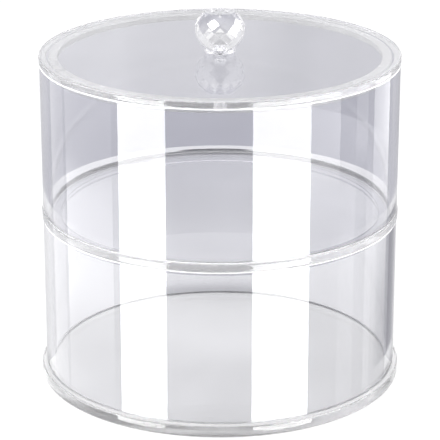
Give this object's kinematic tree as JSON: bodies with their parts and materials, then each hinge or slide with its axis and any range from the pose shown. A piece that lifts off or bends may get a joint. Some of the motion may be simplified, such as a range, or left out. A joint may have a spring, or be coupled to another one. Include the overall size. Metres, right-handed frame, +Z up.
{
  "type": "belt display case",
  "caption": "Round clear acrylic display case: stacking trays under a flat lift-off lid with a faceted ball knob, for showing rolled belts and small goods.",
  "frame": {"origin": "centre of the base plate's underside, on the table", "axes": "+Z up along the case's round axis; the case is the same all round, so X and Y are free"},
  "size_m": [0.256, 0.256, 0.2617],
  "materials": {
    "sheet_acrylic": "clear cast sheet, faces as cast, edges turned round and left satin",
    "tube_acrylic": "clear extruded tube with faint lengthwise draw lines, ends scraped",
    "ring_acrylic": "clear turned ring, cemented on, left satin from the lathe",
    "knob_acrylic": "clear moulded, flat polished facets",
    "insert_steel": "knurled outside, plated",
    "screw_steel": "bright plated"
  },
  "bodies": {
    "lower_tray": {"base_plate": "sheet_acrylic", "lower_tube": "tube_acrylic"},
    "upper_tray": {"shelf_plate": "sheet_acrylic", "shelf_locating_ring": "ring_acrylic", "upper_tube": "tube_acrylic"},
    "lid": {"lid_plate": "sheet_acrylic", "lid_locating_ring": "ring_acrylic", "knob": "knob_acrylic", "knob_insert": "insert_steel", "knob_screw": "screw_steel", "screw_washer": "screw_steel"}
  },
  "joints": [
    {"name": "upper_tray_lift", "type": "slide", "parent": "lower_tray", "child": "upper_tray", "axis": [0, 0, 1], "range_m": [0, 0.15]},
    {"name": "lid_lift", "type": "slide", "parent": "upper_tray", "child": "lid", "axis": [0, 0, 1], "range_m": [0, 0.12]}
  ]
}
